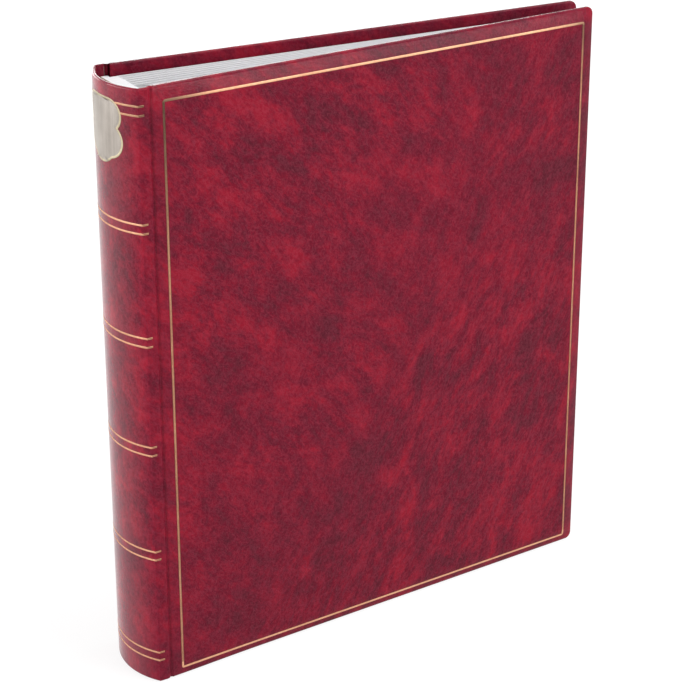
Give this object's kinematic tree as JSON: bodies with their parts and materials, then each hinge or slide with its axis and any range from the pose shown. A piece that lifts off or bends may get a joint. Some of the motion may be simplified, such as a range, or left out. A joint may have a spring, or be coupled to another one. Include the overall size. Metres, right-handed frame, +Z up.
{
  "type": "stamp album",
  "caption": "Tall bound stamp album with padded leatherette covers, a rounded hollow spine and card leaves with clear strips that fan open.",
  "frame": {"origin": "centre of the bounding box's base, on the floor the closed album stands on", "axes": "+Z up the album's height, +X from the spine to the fore-edge, -Y out of the front cover"},
  "size_m": [0.2842, 0.05, 0.32],
  "materials": {
    "leatherette": "satin",
    "greyboard": "matte",
    "gold_foil": "satin",
    "label_foil": "satin",
    "leaf_card": "matte",
    "linen": "matte",
    "mull": "matte",
    "kraft_paper": "matte",
    "foam": "matte",
    "endpaper": "matte",
    "clear_film": "gloss",
    "glassine": "satin"
  },
  "bodies": {
    "spine": {"spine_skin": "leatherette", "spine_liner": "greyboard", "spine_bands": "gold_foil", "spine_label": "label_foil", "spine_label_rim": "gold_foil", "guard_stubs": "leaf_card", "leaf_tabs": "linen", "spine_mull": "mull", "spine_lining": "kraft_paper", "front_joint": "leatherette", "back_joint": "leatherette"},
    "front_cover": {"front_board": "greyboard", "front_padding": "foam", "front_skin": "leatherette", "front_endpaper": "endpaper", "front_gold_frame": "gold_foil"},
    "back_cover": {"back_board": "greyboard", "back_padding": "foam", "back_skin": "leatherette", "back_endpaper": "endpaper"},
    "leaf_01": {"leaf_01": "leaf_card", "strips_01": "clear_film", "interleaf_01": "glassine"},
    "leaf_02": {"leaf_02": "leaf_card", "strips_02": "clear_film", "interleaf_02": "glassine"},
    "leaf_03": {"leaf_03": "leaf_card", "strips_03": "clear_film", "interleaf_03": "glassine"},
    "leaf_04": {"leaf_04": "leaf_card", "strips_04": "clear_film", "interleaf_04": "glassine"},
    "leaf_05": {"leaf_05": "leaf_card", "strips_05": "clear_film", "interleaf_05": "glassine"},
    "leaf_06": {"leaf_06": "leaf_card", "strips_06": "clear_film", "interleaf_06": "glassine"},
    "leaf_07": {"leaf_07": "leaf_card", "strips_07": "clear_film", "interleaf_07": "glassine"},
    "leaf_08": {"leaf_08": "leaf_card", "strips_08": "clear_film", "interleaf_08": "glassine"},
    "leaf_09": {"leaf_09": "leaf_card", "strips_09": "clear_film", "interleaf_09": "glassine"},
    "leaf_10": {"leaf_10": "leaf_card", "strips_10": "clear_film", "interleaf_10": "glassine"},
    "leaf_11": {"leaf_11": "leaf_card", "strips_11": "clear_film", "interleaf_11": "glassine"},
    "leaf_12": {"leaf_12": "leaf_card", "strips_12": "clear_film", "interleaf_12": "glassine"}
  },
  "joints": [
    {"name": "front_cover_hinge", "type": "hinge", "parent": "spine", "child": "front_cover", "pos_m": [-0.12745, -0.0237, 0.16], "axis": [0, 0, -1], "range_deg": [0, 93]},
    {"name": "back_cover_hinge", "type": "hinge", "parent": "spine", "child": "back_cover", "pos_m": [-0.12745, 0.0237, 0.16], "axis": [0, 0, 1], "range_deg": [0, 93]},
    {"name": "leaf_01_hinge", "type": "hinge", "parent": "spine", "child": "leaf_01", "pos_m": [-0.12295, -0.0194, 0.16], "axis": [0, 0, -1], "range_deg": [0, 79.26]},
    {"name": "leaf_02_hinge", "type": "hinge", "parent": "spine", "child": "leaf_02", "pos_m": [-0.12295, -0.01587, 0.16], "axis": [0, 0, -1], "range_deg": [0, 64.85]},
    {"name": "leaf_03_hinge", "type": "hinge", "parent": "spine", "child": "leaf_03", "pos_m": [-0.12295, -0.01235, 0.16], "axis": [0, 0, -1], "range_deg": [0, 50.46]},
    {"name": "leaf_04_hinge", "type": "hinge", "parent": "spine", "child": "leaf_04", "pos_m": [-0.12295, -0.00882, 0.16], "axis": [0, 0, -1], "range_deg": [0, 36.05]},
    {"name": "leaf_05_hinge", "type": "hinge", "parent": "spine", "child": "leaf_05", "pos_m": [-0.12295, -0.00529, 0.16], "axis": [0, 0, -1], "range_deg": [0, 21.64]},
    {"name": "leaf_06_hinge", "type": "hinge", "parent": "spine", "child": "leaf_06", "pos_m": [-0.12295, -0.00176, 0.16], "axis": [0, 0, -1], "range_deg": [0, 7.24]},
    {"name": "leaf_07_hinge", "type": "hinge", "parent": "spine", "child": "leaf_07", "pos_m": [-0.12295, 0.00176, 0.16], "axis": [0, 0, 1], "range_deg": [0, 7.26]},
    {"name": "leaf_08_hinge", "type": "hinge", "parent": "spine", "child": "leaf_08", "pos_m": [-0.12295, 0.00529, 0.16], "axis": [0, 0, 1], "range_deg": [0, 21.66]},
    {"name": "leaf_09_hinge", "type": "hinge", "parent": "spine", "child": "leaf_09", "pos_m": [-0.12295, 0.00882, 0.16], "axis": [0, 0, 1], "range_deg": [0, 36.07]},
    {"name": "leaf_10_hinge", "type": "hinge", "parent": "spine", "child": "leaf_10", "pos_m": [-0.12295, 0.01235, 0.16], "axis": [0, 0, 1], "range_deg": [0, 50.48]},
    {"name": "leaf_11_hinge", "type": "hinge", "parent": "spine", "child": "leaf_11", "pos_m": [-0.12295, 0.01587, 0.16], "axis": [0, 0, 1], "range_deg": [0, 64.87]},
    {"name": "leaf_12_hinge", "type": "hinge", "parent": "spine", "child": "leaf_12", "pos_m": [-0.12295, 0.0194, 0.16], "axis": [0, 0, 1], "range_deg": [0, 79.28]}
  ],
  "couplings": [
    {"joint": "leaf_01_hinge", "follows": "front_cover_hinge", "ratio": 0.8517},
    {"joint": "leaf_02_hinge", "follows": "front_cover_hinge", "ratio": 0.6968},
    {"joint": "leaf_03_hinge", "follows": "front_cover_hinge", "ratio": 0.542},
    {"joint": "leaf_04_hinge", "follows": "front_cover_hinge", "ratio": 0.3871},
    {"joint": "leaf_05_hinge", "follows": "front_cover_hinge", "ratio": 0.2322},
    {"joint": "leaf_06_hinge", "follows": "front_cover_hinge", "ratio": 0.0773},
    {"joint": "leaf_07_hinge", "follows": "back_cover_hinge", "ratio": 0.0775},
    {"joint": "leaf_08_hinge", "follows": "back_cover_hinge", "ratio": 0.2324},
    {"joint": "leaf_09_hinge", "follows": "back_cover_hinge", "ratio": 0.3873},
    {"joint": "leaf_10_hinge", "follows": "back_cover_hinge", "ratio": 0.5422},
    {"joint": "leaf_11_hinge", "follows": "back_cover_hinge", "ratio": 0.697},
    {"joint": "leaf_12_hinge", "follows": "back_cover_hinge", "ratio": 0.8519}
  ]
}
